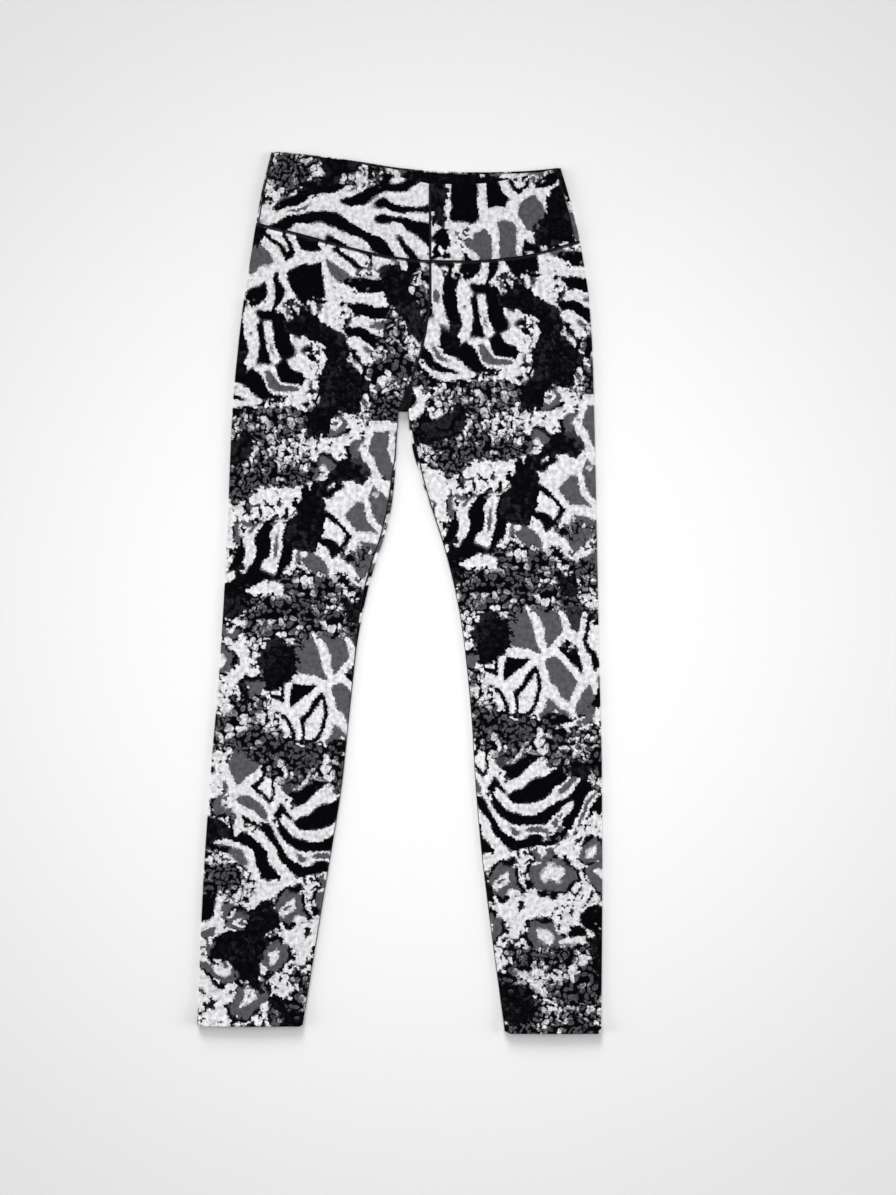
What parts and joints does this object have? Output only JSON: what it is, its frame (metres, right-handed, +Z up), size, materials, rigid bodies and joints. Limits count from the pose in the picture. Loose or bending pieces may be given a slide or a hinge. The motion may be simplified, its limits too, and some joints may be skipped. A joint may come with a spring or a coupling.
{
  "type": "leggings laid flat",
  "caption": "Full-length high-waisted leggings in a printed brushed jersey, laid flat with the front up, with a contoured waistband and a crotch gusset.",
  "frame": {"origin": "on the surface that the garment lies on, below the middle of its length and width", "axes": "+Y from the hems towards the waist, +Z up from the surface (the garment's front faces +Z), +X towards the wearer's left"},
  "size_m": [0.4568, 0.9958, 0.005],
  "materials": {
    "printed_jersey": "brushed jersey with an all-over black, grey and white animal print",
    "gusset_jersey": "brushed jersey, near black"
  },
  "bodies": {
    "root": {"waistband_front_right": "printed_jersey", "waistband_front_left": "printed_jersey", "waistband_back": "printed_jersey", "waistband_back_facing": "printed_jersey", "leg_right": "printed_jersey", "leg_left": "printed_jersey", "gusset": "gusset_jersey"}
  },
  "joints": []
}
